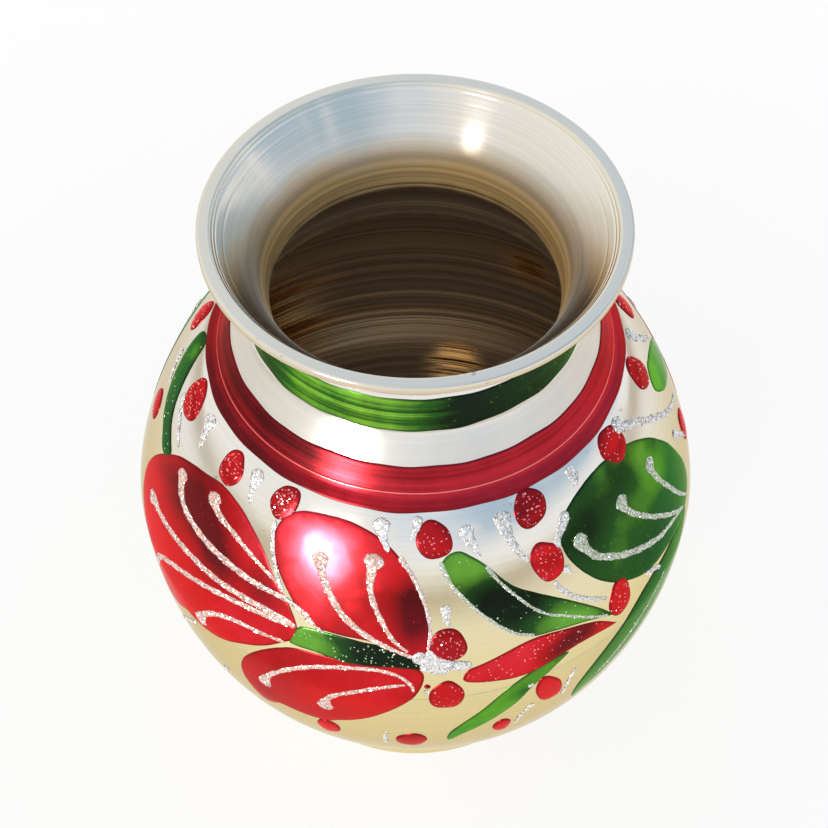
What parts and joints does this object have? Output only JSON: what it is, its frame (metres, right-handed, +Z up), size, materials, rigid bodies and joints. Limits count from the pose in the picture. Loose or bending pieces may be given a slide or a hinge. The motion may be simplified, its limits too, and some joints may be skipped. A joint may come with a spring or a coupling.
{
  "type": "water pot",
  "caption": "Small round-bellied brass water pot with a flared mouth, a short neck and a low foot, with painted lacquer bands and flowers.",
  "frame": {"origin": "centre of the plane that the foot ring stands on", "axes": "+Z up along the pot's turning axis, out of the mouth; the picture looks along +Y and down, so -Y is the painted front"},
  "size_m": [0.0972, 0.0972, 0.1135],
  "materials": {
    "brass": "mirror polished, pale, with fine turning lines",
    "brazing_metal": "filed flush and buffed",
    "green_lacquer": "glossy translucent lacquer over the metal",
    "red_lacquer": "glossy translucent lacquer over the metal",
    "silver_glitter": "coarse silver glitter in clear gel"
  },
  "bodies": {
    "root": {"mouth_and_neck": "brass", "upper_body": "brass", "lower_bowl": "brass", "foot_ring": "brass", "neck_braze": "brazing_metal", "girth_braze": "brazing_metal", "foot_braze": "brazing_metal", "green_neck_band": "green_lacquer", "red_shoulder_band": "red_lacquer"}
  },
  "joints": []
}
